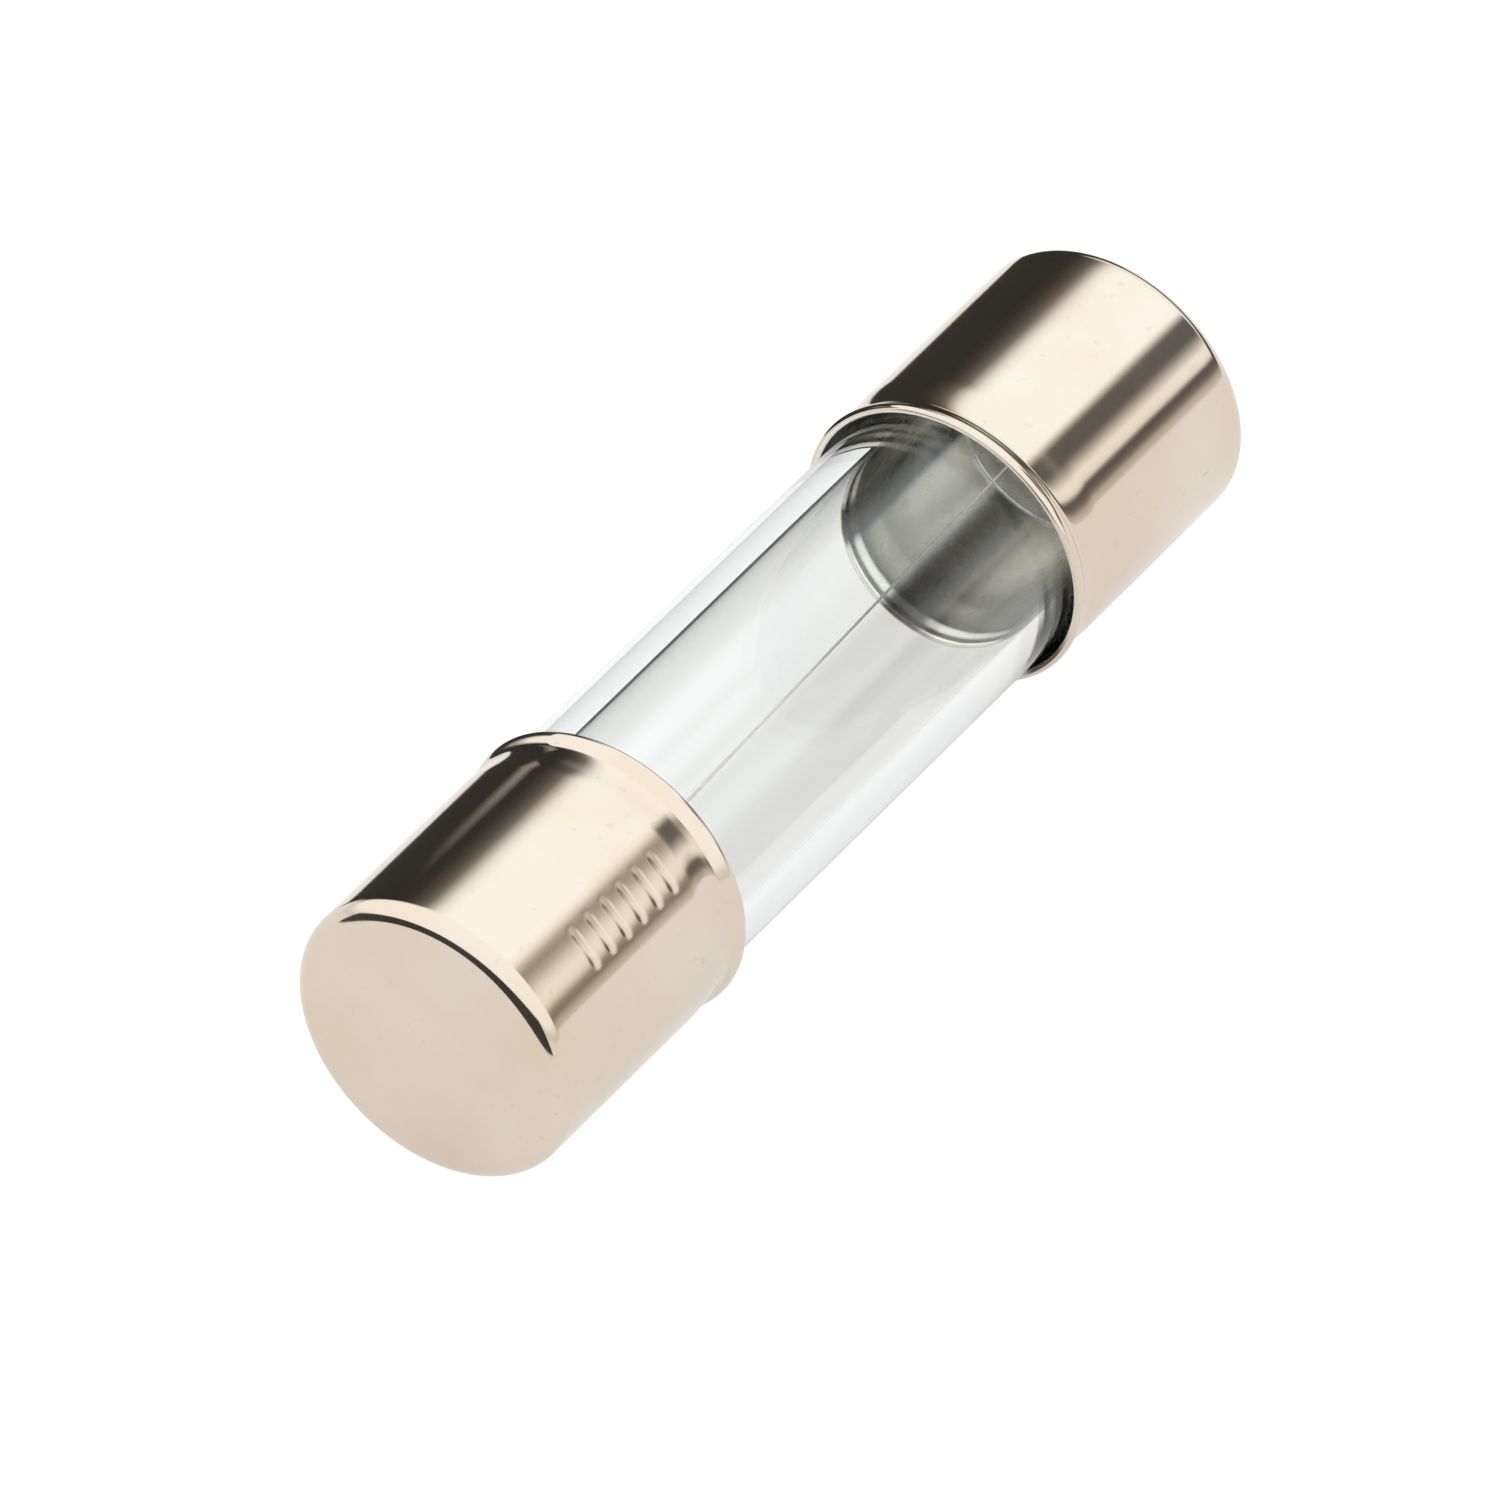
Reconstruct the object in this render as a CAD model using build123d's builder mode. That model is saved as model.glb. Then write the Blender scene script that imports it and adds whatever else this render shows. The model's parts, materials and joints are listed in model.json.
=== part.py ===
from build123d import *
import math
import os

# Miniature glass cartridge fuse, 5 x 20 mm.
# The fuse's axis is X, its centre is the origin and +Z is up. The front cap is at -X.

# Driving dimensions, in millimetres
overall_length = 20.0
cap_diameter = 5.2
cap_length = 5.15
cap_wall = 0.15
cap_end_thickness = 0.20
cap_corner_radius = 0.32
tube_diameter = 4.8
tube_bore = 3.8
tube_length = 18.8
tube_edge_radius = 0.10
wire_diameter = 0.05

# Mouth of a cap: a shallow crimped neck, then a small lip that opens outwards
neck_length = 1.0
neck_depth = 0.04
lip_length = 0.35
lip_flare = 0.05

# Solder: a slug behind the tube's end, a sleeve round the tube and a shallow plug in its bore
sleeve_length = 1.2
plug_height = 0.45
plug_rise = 0.25

# The wire crosses the bore on a slant and folds over the tube's rim at each end
wire_plane_angle = -49.0
wire_wall_clearance = 0.12
wire_bend_radius = 0.12
wire_tail_end_radius = 2.2

# Worked out from the driving dimensions
half_length = overall_length / 2
cap_radius = cap_diameter / 2
cap_bore_radius = cap_radius - cap_wall
cap_mouth_x = half_length - cap_length
cap_floor_x = half_length - cap_end_thickness
tube_radius = tube_diameter / 2
bore_radius = tube_bore / 2
tube_end_x = tube_length / 2
wire_radius = wire_diameter / 2
lip_edge_radius = cap_wall / 2
full_turn = 360


def mouth_outline(radius):
    """One side of a cap's wall at the mouth, from the end of the plain cylinder out to the lip, at +X."""
    points = [
        (cap_mouth_x + neck_length, radius),
        (cap_mouth_x + lip_length, radius - neck_depth),
        (cap_mouth_x + lip_edge_radius, radius + lip_flare),
    ]
    return Spline(*points, tangents=[(-1, 0)] * len(points))


# Rear end cap: a drawn cup with a rounded corner at its closed end
with BuildPart() as rear_end_cap:
    with BuildSketch(Plane.XY):
        with BuildLine():
            outside = mouth_outline(cap_radius)
            inside = mouth_outline(cap_bore_radius)
            TangentArc(outside @ 1, inside @ 1, tangent=outside % 1)
            Polyline(
                inside @ 0,
                (cap_floor_x, cap_bore_radius),
                (cap_floor_x, 0),
                (half_length, 0),
                (half_length, cap_radius - cap_corner_radius),
            )
            RadiusArc(
                (half_length, cap_radius - cap_corner_radius),
                (half_length - cap_corner_radius, cap_radius),
                -cap_corner_radius,
            )
            Line((half_length - cap_corner_radius, cap_radius), outside @ 0)
        make_face()
    revolve(axis=Axis.X, revolution_arc=full_turn)
rear_end_cap.part.label = "rear_end_cap"

with BuildPart() as front_end_cap:
    mirror(rear_end_cap.part, about=Plane.YZ)
front_end_cap.part.label = "front_end_cap"

# Glass tube with fire-polished rims
with BuildPart() as glass_tube:
    with BuildSketch(Plane.YZ.offset(-tube_end_x)):
        Circle(tube_radius)
        Circle(bore_radius, mode=Mode.SUBTRACT)
    extrude(amount=tube_length)
    fillet(glass_tube.edges().filter_by(GeomType.CIRCLE), radius=tube_edge_radius)
glass_tube.part.label = "glass_tube"

# Fuse wire: one round wire on a slant, both tails folded outwards over the tube's rims
wire_across = Vector(
    0,
    math.cos(math.radians(wire_plane_angle)),
    math.sin(math.radians(wire_plane_angle)),
)
wire_bend_x = tube_end_x + wire_radius
wire_bend_offset = bore_radius - wire_wall_clearance
with BuildPart() as fuse_wire:
    with BuildLine() as wire_path:
        FilletPolyline(
            Vector(-wire_bend_x, 0, 0) - wire_across * wire_tail_end_radius,
            Vector(-wire_bend_x, 0, 0) - wire_across * wire_bend_offset,
            Vector(wire_bend_x, 0, 0) + wire_across * wire_bend_offset,
            Vector(wire_bend_x, 0, 0) + wire_across * wire_tail_end_radius,
            radius=wire_bend_radius,
        )
    with BuildSketch(Plane(origin=wire_path.line @ 0, z_dir=wire_path.line % 0)):
        Circle(wire_radius)
    sweep()
fuse_wire.part.label = "fuse_wire"


# Half section of the solder at the +X end, round the X axis
sleeve_x = tube_end_x - sleeve_length
plug_x = tube_end_x - plug_height
rim_x = tube_end_x - tube_edge_radius
rim_outside = tube_radius - tube_edge_radius
rim_inside = bore_radius + tube_edge_radius
with BuildSketch(Plane.XY) as solder_section:
    with BuildLine():
        Polyline(
            (plug_x + plug_rise, 0),
            (cap_floor_x, 0),
            (cap_floor_x, cap_bore_radius),
            (sleeve_x, cap_bore_radius),
            (sleeve_x, tube_radius),
            (rim_x, tube_radius),
        )
        RadiusArc((rim_x, tube_radius), (tube_end_x, rim_outside), tube_edge_radius)
        Line((tube_end_x, rim_outside), (tube_end_x, rim_inside))
        RadiusArc((tube_end_x, rim_inside), (rim_x, bore_radius), tube_edge_radius)
        Line((rim_x, bore_radius), (plug_x, bore_radius))
        TangentArc((plug_x + plug_rise, 0), (plug_x, bore_radius), tangent=(0, 1))
    make_face()

# Solder joints: each has a channel where the wire lies
with BuildPart() as rear_solder_joint:
    revolve(solder_section.sketch, axis=Axis.X, revolution_arc=full_turn)
    add(fuse_wire.part, mode=Mode.SUBTRACT)
rear_solder_joint.part.label = "rear_solder_joint"

with BuildPart() as front_solder_joint:
    front_section = mirror(solder_section.sketch, about=Plane.YZ, mode=Mode.PRIVATE)
    revolve(front_section, axis=Axis.X, revolution_arc=full_turn)
    add(fuse_wire.part, mode=Mode.SUBTRACT)
front_solder_joint.part.label = "front_solder_joint"

os.makedirs("parts", exist_ok=True)
for piece in (
    glass_tube,
    front_end_cap,
    rear_end_cap,
    fuse_wire,
    front_solder_joint,
    rear_solder_joint,
):
    export_step(piece.part, f"parts/{piece.part.label}.step")
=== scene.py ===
import json
import math

import bmesh
import bpy
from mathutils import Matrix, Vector


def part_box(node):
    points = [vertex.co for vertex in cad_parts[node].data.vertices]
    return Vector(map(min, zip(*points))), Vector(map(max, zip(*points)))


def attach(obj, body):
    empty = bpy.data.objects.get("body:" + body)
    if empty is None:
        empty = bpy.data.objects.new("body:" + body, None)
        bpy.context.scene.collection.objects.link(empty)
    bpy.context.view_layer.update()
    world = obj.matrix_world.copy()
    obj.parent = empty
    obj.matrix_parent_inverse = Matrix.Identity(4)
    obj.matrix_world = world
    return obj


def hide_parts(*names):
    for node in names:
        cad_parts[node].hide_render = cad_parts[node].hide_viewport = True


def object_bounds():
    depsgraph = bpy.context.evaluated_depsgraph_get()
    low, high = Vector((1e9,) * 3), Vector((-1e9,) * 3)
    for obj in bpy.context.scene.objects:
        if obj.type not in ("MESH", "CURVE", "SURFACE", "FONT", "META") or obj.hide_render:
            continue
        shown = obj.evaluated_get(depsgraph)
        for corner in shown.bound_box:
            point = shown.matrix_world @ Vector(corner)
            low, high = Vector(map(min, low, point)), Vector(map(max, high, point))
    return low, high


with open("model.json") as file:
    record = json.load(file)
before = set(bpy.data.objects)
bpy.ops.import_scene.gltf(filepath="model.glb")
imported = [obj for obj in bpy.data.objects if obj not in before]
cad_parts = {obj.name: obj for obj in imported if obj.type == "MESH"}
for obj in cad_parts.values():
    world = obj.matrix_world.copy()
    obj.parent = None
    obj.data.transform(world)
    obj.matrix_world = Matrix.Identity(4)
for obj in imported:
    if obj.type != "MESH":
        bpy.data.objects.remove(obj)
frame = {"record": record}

cad_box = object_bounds()

# All lengths are in metres. The fuse lies along X, with its centre at the origin.
MM = 0.001

# ---------------------------------------------------------------- sizes, from the frame

cap_low, cap_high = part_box("rear_end_cap")
tube_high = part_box("glass_tube")[1]
solder_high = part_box("rear_solder_joint")[1]
contact = next(mount for mount in frame["record"]["mounts"] if mount["name"] == "rear_contact")

HALF_LENGTH = cap_high[0]
MOUTH_X = cap_low[0]
LIP_RADIUS = cap_high[2]
CAP_RADIUS = contact["dims"]["r_mm"] * MM
TUBE_RADIUS = tube_high[2]
TUBE_END_X = tube_high[0]
SOLDER_RADIUS = solder_high[2]
FLOOR_X = solder_high[0]

# The same values as the design's driving dimensions
CAP_WALL = 0.15 * MM
CAP_CORNER = 0.32 * MM
NECK_LENGTH = 1.0 * MM
NECK_DEPTH = 0.04 * MM
LIP_LENGTH = 0.35 * MM
LIP_EDGE = CAP_WALL / 2
BORE_RADIUS = 1.9 * MM
RIM_RADIUS = 0.10 * MM
SLEEVE_LENGTH = 1.2 * MM
PLUG_HEIGHT = 0.45 * MM
PLUG_RISE = 0.25 * MM
WIRE_RADIUS = 0.025 * MM
WIRE_ANGLE = math.radians(-49.0)
WIRE_WALL_GAP = 0.12 * MM
WIRE_BEND = 0.12 * MM
WIRE_TAIL_RADIUS = 2.2 * MM

# The radius inside the cap's closed end, where a drawn cup has one
INNER_CORNER = 0.12 * MM

# A plain row of short stamped bars stands in for the rating that such a cap carries
STAMP_ANGLE = math.radians(137.0)
STAMP_COUNT = 6
STAMP_PITCH = 0.44 * MM
STAMP_HALF_WIDTH = 0.13 * MM
STAMP_HALF_LENGTH = 0.44 * MM
STAMP_DEPTH = 0.011 * MM
STAMP_HIGH_X = HALF_LENGTH - 1.45 * MM
STAMP_LOW_X = STAMP_HIGH_X - STAMP_COUNT * STAMP_PITCH

# Mesh density
CAP_SEGMENTS = 400
TUBE_SEGMENTS = 256
SOLDER_SEGMENTS = 128
WIRE_SEGMENTS = 16
STAMP_STEPS = 84
MENISCUS_STEPS = 24
BEND_STEPS = 10

# ---------------------------------------------------------------- outlines, as (x, radius) points


def straight(start, end, count):
    """Points from start towards end, end left out."""
    return [
        (start[0] + (end[0] - start[0]) * i / count, start[1] + (end[1] - start[1]) * i / count)
        for i in range(count)
    ]


def arc(centre, radius, start_deg, end_deg, count):
    """Points along an arc, end left out."""
    points = []
    for i in range(count):
        angle = math.radians(start_deg + (end_deg - start_deg) * i / count)
        points.append((centre[0] + radius * math.cos(angle), centre[1] + radius * math.sin(angle)))
    return points


def ease(start, end, count):
    """An S-shaped run from start to end, level at both, end left out."""
    points = []
    for i in range(count):
        t = i / count
        rise = t * t * (3 - 2 * t)
        points.append((start[0] + (end[0] - start[0]) * t, start[1] + (end[1] - start[1]) * rise))
    return points


def cap_outline():
    """The rear cap's wall, from the centre of its closed end round the mouth and back inside."""
    neck_x = MOUTH_X + NECK_LENGTH
    waist_x = MOUTH_X + LIP_LENGTH
    lip_x = MOUTH_X + LIP_EDGE
    inside = CAP_RADIUS - CAP_WALL
    corner = (HALF_LENGTH - CAP_CORNER, CAP_RADIUS - CAP_CORNER)
    inner_corner = (FLOOR_X - INNER_CORNER, inside - INNER_CORNER)
    points = straight((HALF_LENGTH, 0), (HALF_LENGTH, corner[1]), 12)
    points += arc(corner, CAP_CORNER, 0, 90, 16)
    points += straight((corner[0], CAP_RADIUS), (STAMP_HIGH_X, CAP_RADIUS), 6)
    points += straight((STAMP_HIGH_X, CAP_RADIUS), (STAMP_LOW_X, CAP_RADIUS), STAMP_STEPS)
    points += straight((STAMP_LOW_X, CAP_RADIUS), (neck_x, CAP_RADIUS), 2)
    points += ease((neck_x, CAP_RADIUS), (waist_x, CAP_RADIUS - NECK_DEPTH), 14)
    points += ease((waist_x, CAP_RADIUS - NECK_DEPTH), (lip_x, LIP_RADIUS), 12)
    points += arc((lip_x, LIP_RADIUS - LIP_EDGE), LIP_EDGE, 90, 270, 14)
    points += ease((lip_x, LIP_RADIUS - CAP_WALL), (waist_x, inside - NECK_DEPTH), 12)
    points += ease((waist_x, inside - NECK_DEPTH), (neck_x, inside), 14)
    points += straight((neck_x, inside), (inner_corner[0], inside), 12)
    points += arc(inner_corner, INNER_CORNER, 90, 0, 8)
    points += straight((FLOOR_X, inner_corner[1]), (FLOOR_X, 0), 8)
    return points + [(FLOOR_X, 0)]


def tube_outline():
    """The glass tube's wall, as a closed loop."""
    half = TUBE_END_X - RIM_RADIUS
    outer = TUBE_RADIUS - RIM_RADIUS
    inner = BORE_RADIUS + RIM_RADIUS
    points = arc((half, outer), RIM_RADIUS, 90, 0, 8)
    points += straight((TUBE_END_X, outer), (TUBE_END_X, inner), 4)
    points += arc((half, inner), RIM_RADIUS, 0, -90, 8)
    points += straight((half, BORE_RADIUS), (-half, BORE_RADIUS), 60)
    points += arc((-half, inner), RIM_RADIUS, 270, 180, 8)
    points += straight((-TUBE_END_X, inner), (-TUBE_END_X, outer), 4)
    points += arc((-half, outer), RIM_RADIUS, 180, 90, 8)
    points += straight((-half, TUBE_RADIUS), (half, TUBE_RADIUS), 60)
    return points


def solder_outline():
    """The rear solder joint: a slug, a sleeve round the tube and a plug with a meniscus in its bore."""
    sleeve_x = TUBE_END_X - SLEEVE_LENGTH
    plug_x = TUBE_END_X - PLUG_HEIGHT
    half = TUBE_END_X - RIM_RADIUS
    points = straight((FLOOR_X, 0), (FLOOR_X, SOLDER_RADIUS), 8)
    points += straight((FLOOR_X, SOLDER_RADIUS), (sleeve_x, SOLDER_RADIUS), 12)
    points += straight((sleeve_x, SOLDER_RADIUS), (sleeve_x, TUBE_RADIUS), 2)
    points += straight((sleeve_x, TUBE_RADIUS), (half, TUBE_RADIUS), 12)
    points += arc((half, TUBE_RADIUS - RIM_RADIUS), RIM_RADIUS, 90, 0, 6)
    points += straight((TUBE_END_X, TUBE_RADIUS - RIM_RADIUS), (TUBE_END_X, BORE_RADIUS + RIM_RADIUS), 4)
    points += arc((half, BORE_RADIUS + RIM_RADIUS), RIM_RADIUS, 0, -90, 6)
    points += straight((half, BORE_RADIUS), (plug_x, BORE_RADIUS), 6)
    for i in range(MENISCUS_STEPS):
        radius = BORE_RADIUS * (1 - i / MENISCUS_STEPS)
        points.append((plug_x + PLUG_RISE * (1 - (radius / BORE_RADIUS) ** 2), radius))
    return points + [(plug_x + PLUG_RISE, 0)]


# ---------------------------------------------------------------- mesh helpers


def finish_mesh(name, mesh_data, materials):
    """Turns a bmesh into a named, smooth piece on the part's one body."""
    bmesh.ops.recalc_face_normals(mesh_data, faces=mesh_data.faces)
    mesh = bpy.data.meshes.new(name)
    mesh_data.to_mesh(mesh)
    mesh_data.free()
    mesh.shade_smooth()
    for material in materials:
        mesh.materials.append(material)
    piece = bpy.data.objects.new(name, mesh)
    bpy.context.scene.collection.objects.link(piece)
    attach(piece, "root")
    return piece


def lathe(outline, segments, mirrored=False, closed=False, shape=None, inside_from=None):
    """Turns an outline round the X axis. shape moves a point, given its place, along its radius.
    The bands from number inside_from on take the piece's second material."""
    side = -1 if mirrored else 1
    mesh_data = bmesh.new()
    rings = []
    for x, radius in outline:
        if radius == 0:
            rings.append([mesh_data.verts.new((side * x, 0, 0))])
            continue
        ring = []
        for i in range(segments):
            angle = 2 * math.pi * i / segments
            r = radius + (shape(side * x, radius, angle) if shape else 0)
            ring.append(mesh_data.verts.new((side * x, r * math.cos(angle), r * math.sin(angle))))
        rings.append(ring)
    pairs = list(zip(rings, rings[1:]))
    if closed:
        pairs.append((rings[-1], rings[0]))
    for band, (near, far) in enumerate(pairs):
        for i in range(segments):
            corners = [near[i % len(near)], near[(i + 1) % len(near)]]
            corners += [far[(i + 1) % len(far)], far[i % len(far)]]
            face = mesh_data.faces.new(list(dict.fromkeys(corners)))
            face.material_index = int(inside_from is not None and band >= inside_from)
    return mesh_data


# ---------------------------------------------------------------- materials


def fill_ramp(ramp, stops, low, high):
    """Sets a colour ramp's stops, given as (value, colour), over values that run from low to high."""
    elements = ramp.color_ramp.elements
    while len(elements) < len(stops):
        elements.new(0.5)
    for element, (value, colour) in zip(elements, stops):
        element.position = (value - low) / (high - low)
        element.color = (*colour, 1)


class Nodes:
    """A short way to build a material's node tree."""

    def __init__(self, name):
        self.material = bpy.data.materials.new(name)
        self.material.use_nodes = True
        self.tree = self.material.node_tree
        self.shader = self.tree.nodes["Principled BSDF"]
        self.place = self.tree.nodes.new("ShaderNodeTexCoord").outputs["Object"]

    def add(self, kind, **settings):
        """A new node."""
        node = self.tree.nodes.new(kind)
        for key, value in settings.items():
            setattr(node, key, value)
        return node

    def link(self, source, target):
        """Joins an output to an input."""
        self.tree.links.new(source, target)

    def set(self, **values):
        """Constant values on the shader's own sockets."""
        for key, value in values.items():
            self.shader.inputs[key.replace("_", " ")].default_value = value

    def noise(self, scale, detail=3.0, stretch=(1, 1, 1), seed=0.0):
        """Noise over the piece; an axis stretched by less than 1 draws it out along that axis."""
        mapping = self.add("ShaderNodeMapping")
        mapping.inputs["Scale"].default_value = stretch
        mapping.inputs["Location"].default_value = (seed, seed, seed)
        self.link(self.place, mapping.inputs["Vector"])
        noise = self.add("ShaderNodeTexNoise")
        noise.inputs["Scale"].default_value = scale
        noise.inputs["Detail"].default_value = detail
        self.link(mapping.outputs["Vector"], noise.inputs["Vector"])
        return noise.outputs["Fac"]

    def span(self, source, low, high, to_low, to_high):
        """Maps a value from one range to another, held at both ends."""
        node = self.add("ShaderNodeMapRange")
        for key, value in zip(("From Min", "From Max", "To Min", "To Max"), (low, high, to_low, to_high)):
            node.inputs[key].default_value = value
        self.link(source, node.inputs["Value"])
        return node.outputs["Result"]

    def math(self, operation, first, second=0.0):
        """One step of arithmetic on numbers or outputs."""
        node = self.add("ShaderNodeMath", operation=operation)
        for socket, value in zip(node.inputs, (first, second)):
            if isinstance(value, (int, float)):
                socket.default_value = value
            else:
                self.link(value, socket)
        return node.outputs["Value"]

    def mix(self, factor, first, second):
        """A blend of two colours, each a tuple or an output."""
        node = self.add("ShaderNodeMix", data_type="RGBA")
        for socket, value in zip((node.inputs[0], node.inputs[6], node.inputs[7]), (factor, first, second)):
            if isinstance(value, tuple):
                socket.default_value = (*value, 1)
            else:
                self.link(value, socket)
        return node.outputs[2]

    def bump(self, height, distance, under=None):
        """Fine relief of a given depth, on top of another if one is given."""
        node = self.add("ShaderNodeBump")
        node.inputs["Distance"].default_value = distance
        self.link(height, node.inputs["Height"])
        if under is not None:
            self.link(under, node.inputs["Normal"])
        return node.outputs["Normal"]


def nickel_plate():
    """Bright nickel over brass: warm, faintly mottled, with fine draw lines and a faint waviness."""
    n = Nodes("nickel_plate")
    n.set(Metallic=1.0)
    patches = n.span(n.noise(420, 3.0), 0.35, 0.7, 0, 1)
    tone = n.mix(patches, (0.738, 0.640, 0.555), (0.700, 0.582, 0.462))
    stains = n.span(n.noise(170, 2.0, seed=9.0), 0.52, 0.72, 0, 0.30)
    tone = n.mix(stains, tone, (0.690, 0.590, 0.440))
    specks = n.span(n.noise(5200, 2.0, seed=3.0), 0.66, 0.78, 0, 0.35)
    n.link(n.mix(specks, tone, (0.52, 0.46, 0.39)), n.shader.inputs["Base Color"])
    smears = n.noise(900, 4.0, stretch=(0.35, 1, 1), seed=7.0)
    n.link(n.span(smears, 0.3, 0.75, 0.05, 0.14), n.shader.inputs["Roughness"])
    lines = n.noise(9000, 2.0, stretch=(0.04, 1, 1), seed=1.0)
    waves = n.noise(700, 1.0, seed=5.0)
    fine = n.bump(lines, 0.00012 * MM)
    n.link(n.bump(waves, 0.0035 * MM, under=fine), n.shader.inputs["Normal"])
    return n.material


# Painted reflections on the tinned inside of a cap: light and dark bands along it, painted into the tin's
# colour: (angle round X from +Y, how bright the tin is)
PAINTED_REFLECTION_BANDS = (
    (-165, 0.84),
    (-150, 0.10),
    (-133, 0.10),
    (-124, 0.96),
    (-86, 0.96),
    (-78, 0.46),
    (-74, 0.09),
    (-57, 0.08),
    (-53, 0.90),
    (-26, 0.90),
    (-21, 0.06),
    (-4, 0.06),
    (3, 0.84),
    (178, 0.84),
)
TIN_TINT = (1, 0.985, 0.94)


def tin_with_painted_reflections():
    """The dull tinned inside of a cap, with painted reflections: brighter and darker bands along it,
    painted into its colour by angle round the axis.
    """
    n = Nodes("tin_with_painted_reflections")
    n.set(Metallic=1.0)
    split = n.add("ShaderNodeSeparateXYZ")
    n.link(n.place, split.inputs["Vector"])
    turn = n.math("ARCTAN2", split.outputs["Z"], split.outputs["Y"])
    ripple = n.span(n.noise(600, 3.0, stretch=(0.3, 1, 1), seed=4.0), 0, 1, -3, 3)
    angle = n.math("ADD", n.math("DEGREES", turn), ripple)
    ramp = n.add("ShaderNodeValToRGB")
    n.link(n.span(angle, -180, 180, 0, 1), ramp.inputs["Fac"])
    # The ramp paints light and dark reflection bands into the tin's colour, by angle round the axis
    bands = [(degrees, [light * tint for tint in TIN_TINT]) for degrees, light in PAINTED_REFLECTION_BANDS]
    fill_ramp(ramp, bands, -180, 180)
    n.link(ramp.outputs["Color"], n.shader.inputs["Base Color"])
    grain = n.noise(1800, 4.0, seed=6.0)
    n.link(n.span(grain, 0.3, 0.7, 0.22, 0.30), n.shader.inputs["Roughness"])
    n.link(n.bump(grain, 0.0006 * MM), n.shader.inputs["Normal"])
    return n.material


def clear_glass():
    """Drawn glass tube: clear, very slightly grey, with faint draw lines along it."""
    n = Nodes("clear_glass")
    n.set(Transmission_Weight=1.0, IOR=1.5, Base_Color=(0.985, 0.985, 0.975, 1))
    smears = n.noise(800, 4.0, stretch=(0.4, 1, 1), seed=11.0)
    n.link(n.span(smears, 0.45, 0.8, 0.0, 0.03), n.shader.inputs["Roughness"])
    lines = n.noise(1400, 2.0, stretch=(0.03, 1, 1), seed=2.0)
    n.link(n.bump(lines, 0.002 * MM), n.shader.inputs["Normal"])
    return n.material


def wire_metal():
    """Silver-plated fuse wire with fine draw marks."""
    n = Nodes("wire_metal")
    n.set(Metallic=1.0)
    marks = n.noise(12000, 3.0, stretch=(0.1, 1, 1))
    n.link(n.mix(marks, (0.92, 0.91, 0.88), (0.80, 0.77, 0.72)), n.shader.inputs["Base Color"])
    n.link(n.span(marks, 0.3, 0.7, 0.2, 0.38), n.shader.inputs["Roughness"])
    return n.material


def solder_metal():
    """Tin solder: grey and slightly frosted, with a crystalline grain."""
    n = Nodes("solder_metal")
    n.set(Metallic=1.0)
    grain = n.noise(2600, 5.0)
    n.link(n.mix(grain, (0.90, 0.89, 0.87), (0.84, 0.83, 0.80)), n.shader.inputs["Base Color"])
    n.link(n.span(grain, 0.3, 0.7, 0.16, 0.36), n.shader.inputs["Roughness"])
    n.link(n.bump(grain, 0.003 * MM), n.shader.inputs["Normal"])
    return n.material


# ---------------------------------------------------------------- the fuse's pieces

nickel = nickel_plate()
tinned = tin_with_painted_reflections()
glass = clear_glass()
solder = solder_metal()


def stamps(x, radius, angle):
    """How far the stamp pushes in a point of the front cap's outside."""
    if radius < CAP_RADIUS - CAP_WALL / 2 or not -STAMP_HIGH_X < x < -STAMP_LOW_X:
        return 0
    first = -STAMP_HIGH_X + STAMP_PITCH / 2
    along = (x - first + STAMP_PITCH / 2) % STAMP_PITCH - STAMP_PITCH / 2
    across = (angle - STAMP_ANGLE) * CAP_RADIUS
    along = min(abs(along) / STAMP_HALF_WIDTH, 1)
    across = min(abs(across) / STAMP_HALF_LENGTH, 1)
    return -STAMP_DEPTH * (1 - along**2) ** 2 * (1 - across**6) ** 2


# The cap's outline is bright nickel up to the mouth's edge, and tinned, with painted reflection bands, from
# there on inwards
plain_outline = cap_outline()
mouth_band = min(range(len(plain_outline)), key=lambda i: plain_outline[i][0])

rear_cap = lathe(plain_outline, CAP_SEGMENTS, inside_from=mouth_band)
rear_cap = finish_mesh("rear_end_cap_plated", rear_cap, (nickel, tinned))
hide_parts("rear_end_cap")

front_cap = lathe(plain_outline, CAP_SEGMENTS, mirrored=True, shape=stamps, inside_from=mouth_band)
front_cap = finish_mesh("front_end_cap_plated", front_cap, (nickel, tinned))
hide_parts("front_end_cap")

tube = lathe(tube_outline(), TUBE_SEGMENTS, closed=True)
tube = finish_mesh("glass_tube_clear", tube, (glass,))
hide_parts("glass_tube")

for side, mirrored in (("rear", False), ("front", True)):
    joint = lathe(solder_outline(), SOLDER_SEGMENTS, mirrored=mirrored)
    joint = finish_mesh(f"{side}_solder_tinned", joint, (solder,))
    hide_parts(f"{side}_solder_joint")


def wire_route():
    """The wire's centre line: a tail, a bend, the slanted run across the bore, a bend and a tail."""
    across = Vector((0, math.cos(WIRE_ANGLE), math.sin(WIRE_ANGLE)))
    end = Vector((TUBE_END_X + WIRE_RADIUS, 0, 0))
    corner = BORE_RADIUS - WIRE_WALL_GAP
    corners = [
        -end - across * WIRE_TAIL_RADIUS,
        -end - across * corner,
        end + across * corner,
        end + across * WIRE_TAIL_RADIUS,
    ]
    route = [corners[0]]
    for before, point, after in zip(corners, corners[1:], corners[2:]):
        arriving = (point - before).normalized()
        leaving = (after - point).normalized()
        setback = WIRE_BEND * math.tan(arriving.angle(leaving) / 2)
        first = point - arriving * setback
        last = point + leaving * setback
        for i in range(BEND_STEPS + 1):
            t = i / BEND_STEPS
            route.append(first * (1 - t) ** 2 + point * 2 * t * (1 - t) + last * t**2)
    return route + [corners[-1]]


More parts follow.
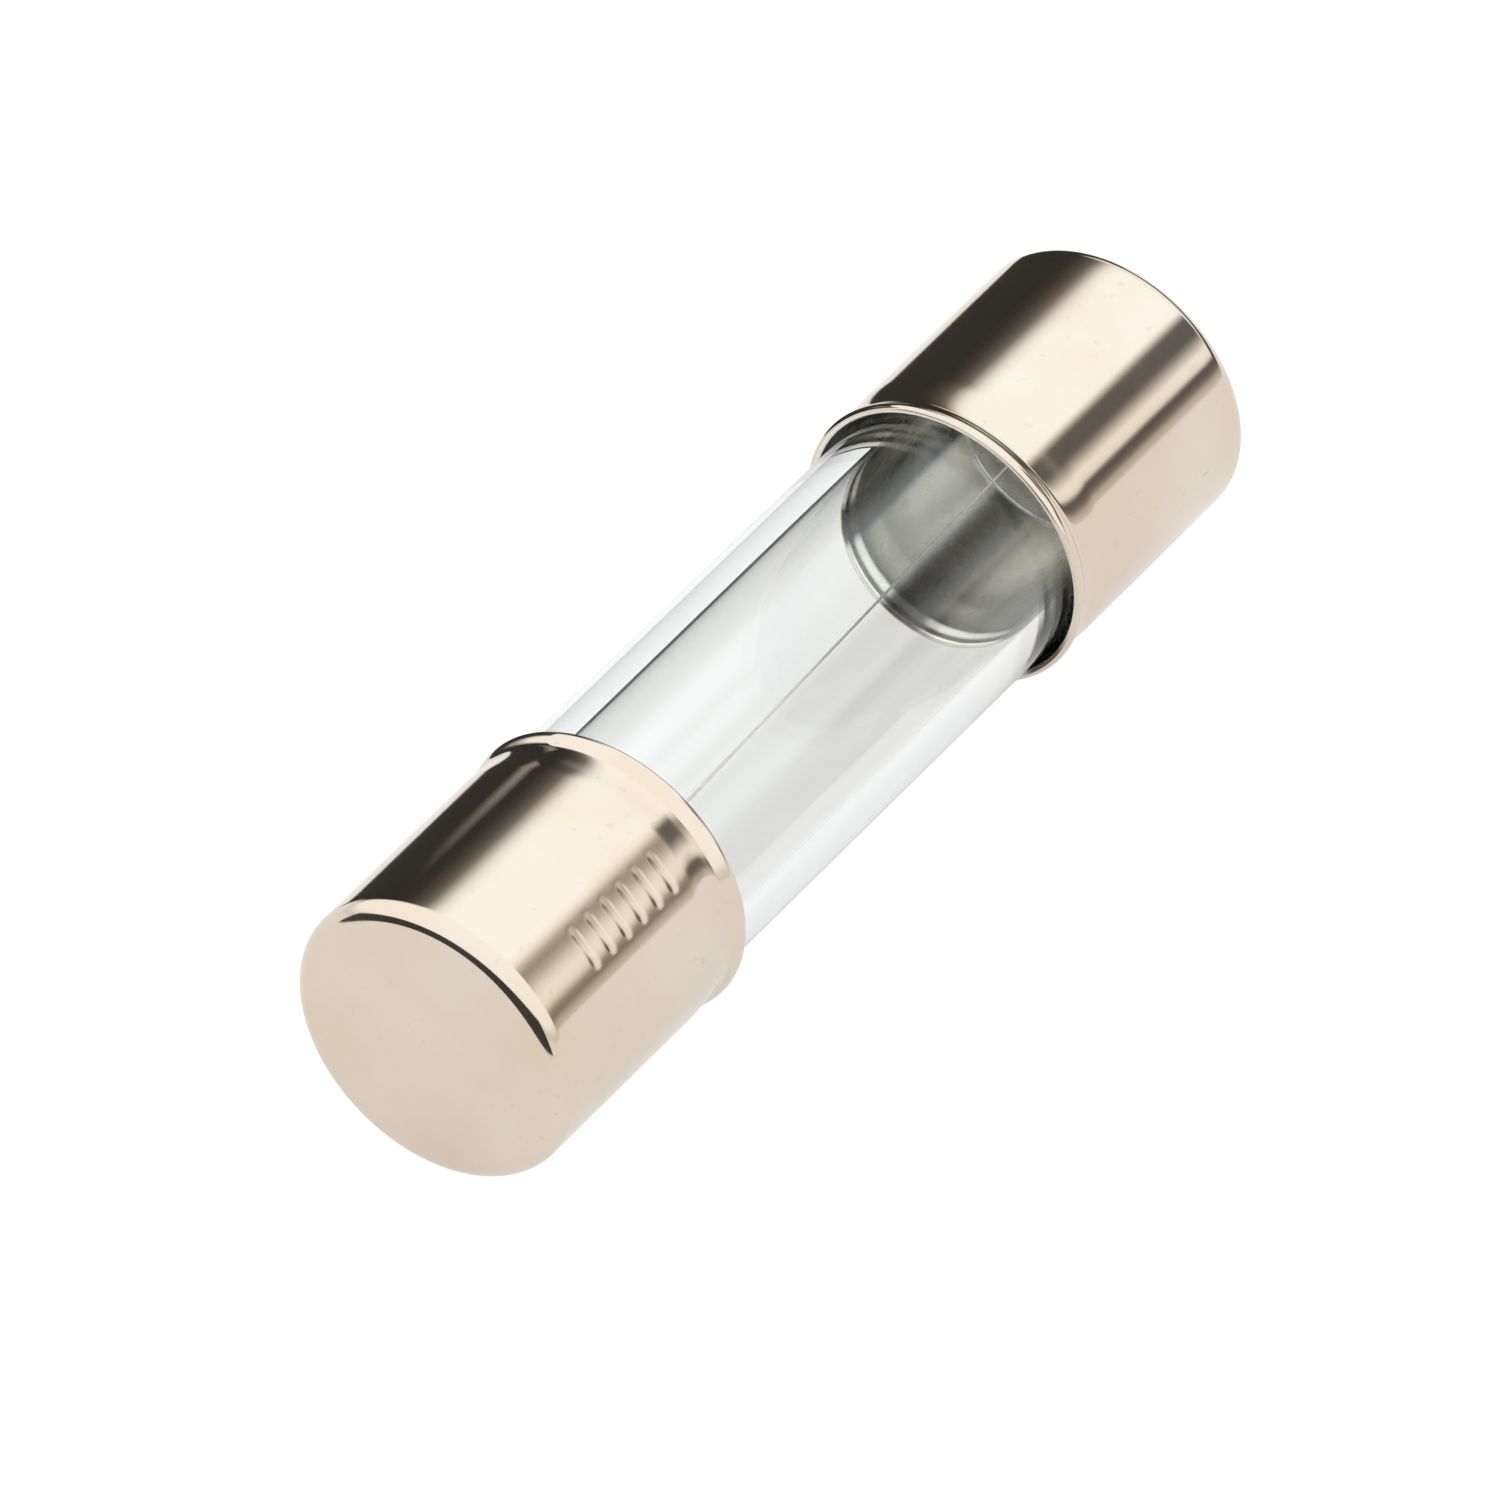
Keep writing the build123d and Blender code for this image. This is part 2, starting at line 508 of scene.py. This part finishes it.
def tube_along(route, radius, segments):
    """A round bar along a route that stays in one plane."""
    mesh_data = bmesh.new()
    flat = (route[-1] - route[0]).cross(route[1] - route[0]).normalized()
    rings = []
    for i, point in enumerate(route):
        along = (route[min(i + 1, len(route) - 1)] - route[max(i - 1, 0)]).normalized()
        out = flat.cross(along)
        ring = []
        for j in range(segments):
            angle = 2 * math.pi * j / segments
            spoke = flat * math.cos(angle) + out * math.sin(angle)
            ring.append(mesh_data.verts.new(point + spoke * radius))
        rings.append(ring)
    for near, far in zip(rings, rings[1:]):
        for j in range(segments):
            k = (j + 1) % segments
            mesh_data.faces.new((near[j], near[k], far[k], far[j]))
    mesh_data.faces.new(rings[0])
    mesh_data.faces.new(rings[-1])
    return mesh_data


wire = tube_along(wire_route(), WIRE_RADIUS, WIRE_SEGMENTS)
wire = finish_mesh("fuse_wire_drawn", wire, (wire_metal(),))
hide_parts("fuse_wire")

# ---------------------------------------------------------------- stage: floor, cards, sky and camera

FLOOR_HALF = 3.0
FLOOR_Z = cad_box[0][2]


def plane(name, corners, material):
    """A flat stage piece with four corners."""
    mesh = bpy.data.meshes.new(name)
    mesh.from_pydata(corners, [], [(0, 1, 2, 3)])
    mesh.materials.append(material)
    sheet = bpy.data.objects.new(name, mesh)
    bpy.context.scene.collection.objects.link(sheet)
    return sheet


def floor_paint():
    """Pale floor: the camera sees it nearly white, and the fuse mirrors it with its own soft shadow."""
    n = Nodes("pale_floor")
    n.set(Base_Color=(0.35, 0.35, 0.35, 1), Roughness=0.9, Specular_IOR_Level=0.0)
    n.set(Emission_Color=(1, 1, 1, 1))
    seen = n.add("ShaderNodeLightPath").outputs["Is Camera Ray"]
    n.link(n.span(seen, 0, 1, 0.59, 0.80), n.shader.inputs["Emission Strength"])
    return n.material


def card_paint(light, fades):
    """A plain grey card. Towards the low and high ends of X and Z it fades out over a part of its size.
    It doesn't show in what is seen through the glass."""
    n = Nodes("card_paint")
    n.set(Base_Color=(0.01, 0.01, 0.01, 1), Roughness=0.9, Specular_IOR_Level=0.0)
    n.set(Emission_Color=(light, light, light, 1), Emission_Strength=1.0)
    through = n.add("ShaderNodeLightPath").outputs["Is Transmission Ray"]
    cover = n.span(through, 0, 1, 1, 0)
    split = n.add("ShaderNodeSeparateXYZ")
    n.link(n.add("ShaderNodeTexCoord").outputs["Generated"], split.inputs["Vector"])
    for axis, (low, high) in zip("XZ", fades):
        if low:
            cover = n.math("MULTIPLY", cover, n.span(split.outputs[axis], 0, low, 0, 1))
        if high:
            cover = n.math("MULTIPLY", cover, n.span(split.outputs[axis], 1 - high, 1, 1, 0))
    n.link(cover, n.shader.inputs["Alpha"])
    return n.material


plane(
    "floor",
    [(-FLOOR_HALF, -FLOOR_HALF, FLOOR_Z), (FLOOR_HALF, -FLOOR_HALF, FLOOR_Z),
     (FLOOR_HALF, FLOOR_HALF, FLOOR_Z), (-FLOOR_HALF, FLOOR_HALF, FLOOR_Z)],
    floor_paint(),
)

# Studio cards. Each is a rectangle, given in millimetres by a corner and the two edges that leave it; then
# its light, and the part of its size over which it fades out at the low and high ends of X, and of Z.
FLOOR_MM = FLOOR_Z / MM
HARD = (0, 0)
CARDS = (
    # The dark edge along the far side of the caps
    ("card_side", (-3.5, 12, FLOOR_MM), (48.5, 0, 0), (0, 0, 8 - FLOOR_MM), 0.030, ((0.03, 0.1), HARD)),
    # A faint light streak in the front cap's dark side
    ("streak", (0.3, 11.8, 4.1), (5.0, 0, 0), (0, 0, 3.4), 0.33, ((0.6, 0.05), (0.45, 0.45))),
    # The dark crease round the front cap's face
    ("card_front", (-20, -14, FLOOR_MM), (0, 36, 0), (0, 0, 4.2 - FLOOR_MM), 0.05, (HARD, HARD)),
    # Two flags that deepen the stripes on the rear cap
    ("flag_high", (17, -13.6, 22.6), (32, 0, 0), (0, -10.2, -10.0), 0.14, ((0.06, 0.2), (0.42, 0.22))),
    ("flag_low", (17, -24.9, 9.5), (32, 0, 0), (0, -1.4, -5.75), 0.13, ((0.06, 0.2), (0.50, 0.28))),
)


def card(name, corner, edge_one, edge_two, light, fades):
    """A card that only reflections see."""
    corner, edge_one, edge_two = (Vector(place) * MM for place in (corner, edge_one, edge_two))
    corners = [corner, corner + edge_one, corner + edge_one + edge_two, corner + edge_two]
    sheet = plane(name, corners, card_paint(light, fades))
    sheet.visible_camera = False
    sheet.visible_diffuse = False
    sheet.visible_shadow = False


for values in CARDS:
    card(*values)

# The sky. Beside the fuse it is a row of long softboxes: (degrees from +Y over the top to -Y, light)
SKY = (
    (0, (0.034, 0.036, 0.034)),
    (22, (0.038, 0.039, 0.036)),
    (32, (0.050, 0.050, 0.046)),
    (38, (0.080, 0.078, 0.072)),
    (43, (0.13, 0.127, 0.12)),
    (48, (0.23, 0.23, 0.22)),
    (53, (0.60, 0.61, 0.61)),
    (58, (1.06, 1.11, 1.13)),
    (63, (1.28, 1.36, 1.40)),
    (68, (1.34, 1.43, 1.48)),
    (119, (1.34, 1.43, 1.48)),
    (123, (1.28, 1.33, 1.34)),
    (126.5, (1.04, 1.03, 0.99)),
    (130.5, (0.60, 0.58, 0.52)),
    (134.5, (0.43, 0.41, 0.36)),
    (139, (0.56, 0.54, 0.48)),
    (143, (0.75, 0.74, 0.68)),
    (147.5, (1.02, 1.03, 0.99)),
    (152, (1.14, 1.18, 1.14)),
    (158, (1.14, 1.18, 1.14)),
    (162, (0.92, 0.92, 0.86)),
    (166, (0.41, 0.38, 0.33)),
    (170.5, (0.28, 0.26, 0.22)),
    (175, (0.58, 0.56, 0.50)),
    (180, (0.80, 0.79, 0.75)),
)
# Towards the front (-X) it is one softbox, and towards the rear (+X) a softbox over a dark wall:
# (sine of the height, light)
FRONT_SKY = (
    (0.0, (0.80, 0.83, 0.83)),
    (0.10, (0.95, 0.99, 0.99)),
    (0.20, (1.25, 1.30, 1.30)),
    (1.0, (1.30, 1.36, 1.38)),
)
REAR_SKY = (
    (0.0, (0.10, 0.09, 0.08)),
    (0.20, (0.12, 0.11, 0.10)),
    (0.30, (1.20, 1.25, 1.25)),
    (1.0, (1.25, 1.30, 1.30)),
)
BELOW = (1.0, 1.0, 1.0)
# The sky's strength: a ramp's colours stay under 1, so they hold each light divided by this
BRIGHT = 2.0


def light_ramp(tree, source, low, high, stops):
    """A colour ramp of light over a value that runs from low to high."""
    scale = tree.nodes.new("ShaderNodeMapRange")
    scale.inputs["From Min"].default_value = low
    scale.inputs["From Max"].default_value = high
    ramp = tree.nodes.new("ShaderNodeValToRGB")
    tree.links.new(source, scale.inputs["Value"])
    tree.links.new(scale.outputs["Result"], ramp.inputs["Fac"])
    fill_ramp(ramp, [(place, [value / BRIGHT for value in light]) for place, light in stops], low, high)
    return ramp.outputs["Color"]


def studio_sky():
    """The front sky, then the softboxes beside the fuse, then the rear sky, blended in turn along X."""
    world = bpy.data.worlds.new("studio")
    world.use_nodes = True
    tree = world.node_tree
    background = tree.nodes["Background"]
    background.inputs["Strength"].default_value = BRIGHT
    place = tree.nodes.new("ShaderNodeTexCoord")
    split = tree.nodes.new("ShaderNodeSeparateXYZ")
    turn = tree.nodes.new("ShaderNodeMath")
    turn.operation = "ARCTAN2"
    degrees = tree.nodes.new("ShaderNodeMath")
    degrees.operation = "DEGREES"
    tree.links.new(place.outputs["Generated"], split.inputs["Vector"])
    tree.links.new(split.outputs["Z"], turn.inputs[0])
    tree.links.new(split.outputs["Y"], turn.inputs[1])
    tree.links.new(turn.outputs["Value"], degrees.inputs[0])
    # Under the horizon the light is even
    sides = [(-180, BELOW), (-0.5, BELOW)] + list(SKY)
    front = [(-1.0, BELOW), (-0.005, BELOW)] + list(FRONT_SKY)
    rear = [(-1.0, BELOW), (-0.005, BELOW)] + list(REAR_SKY)
    light = light_ramp(tree, split.outputs["Z"], -1, 1, front)
    # Where along X each takes over from the one before, then what its ramp reads, over which range
    for low, high, source, least, most, stops in (
        (0.40, 0.52, degrees.outputs["Value"], -180, 180, sides),
        (0.72, 0.82, split.outputs["Z"], -1, 1, rear),
    ):
        blend = tree.nodes.new("ShaderNodeMapRange")
        blend.inputs["From Min"].default_value = low
        blend.inputs["From Max"].default_value = high
        mix = tree.nodes.new("ShaderNodeMix")
        mix.data_type = "RGBA"
        tree.links.new(split.outputs["X"], blend.inputs["Value"])
        tree.links.new(blend.outputs["Result"], mix.inputs[0])
        tree.links.new(light, mix.inputs[6])
        tree.links.new(light_ramp(tree, source, least, most, stops), mix.inputs[7])
        light = mix.outputs[2]
    tree.links.new(light, background.inputs["Color"])
    bpy.context.scene.world = world


studio_sky()

# The camera, given by where it stands round the fuse, with a small offset that frames the fuse
AZIMUTH = math.radians(-56.4)
ELEVATION = math.radians(40.3)
DISTANCE = 0.35
LENS = 522.5
SHIFT_RIGHT = -0.439 * MM
SHIFT_UP = -0.704 * MM


def add_camera():
    """A long lens that looks past the fuse's centre."""
    data = bpy.data.cameras.new("camera")
    data.lens = LENS
    data.sensor_width = 36.0
    data.clip_start = 0.01
    data.clip_end = 20.0
    camera = bpy.data.objects.new("camera", data)
    back = Vector((
        math.sin(AZIMUTH) * math.cos(ELEVATION),
        -math.cos(AZIMUTH) * math.cos(ELEVATION),
        math.sin(ELEVATION),
    ))
    turn = (-back).to_track_quat("-Z", "Y")
    camera.rotation_mode = "QUATERNION"
    camera.rotation_quaternion = turn
    right = turn @ Vector((1, 0, 0))
    up = turn @ Vector((0, 1, 0))
    camera.location = back * DISTANCE + right * SHIFT_RIGHT + up * SHIFT_UP
    bpy.context.scene.collection.objects.link(camera)
    bpy.context.scene.camera = camera


add_camera()
bpy.context.scene.view_settings.view_transform = "Standard"
cycles = bpy.context.scene.cycles
cycles.max_bounces = 32
cycles.glossy_bounces = 16
cycles.transmission_bounces = 32
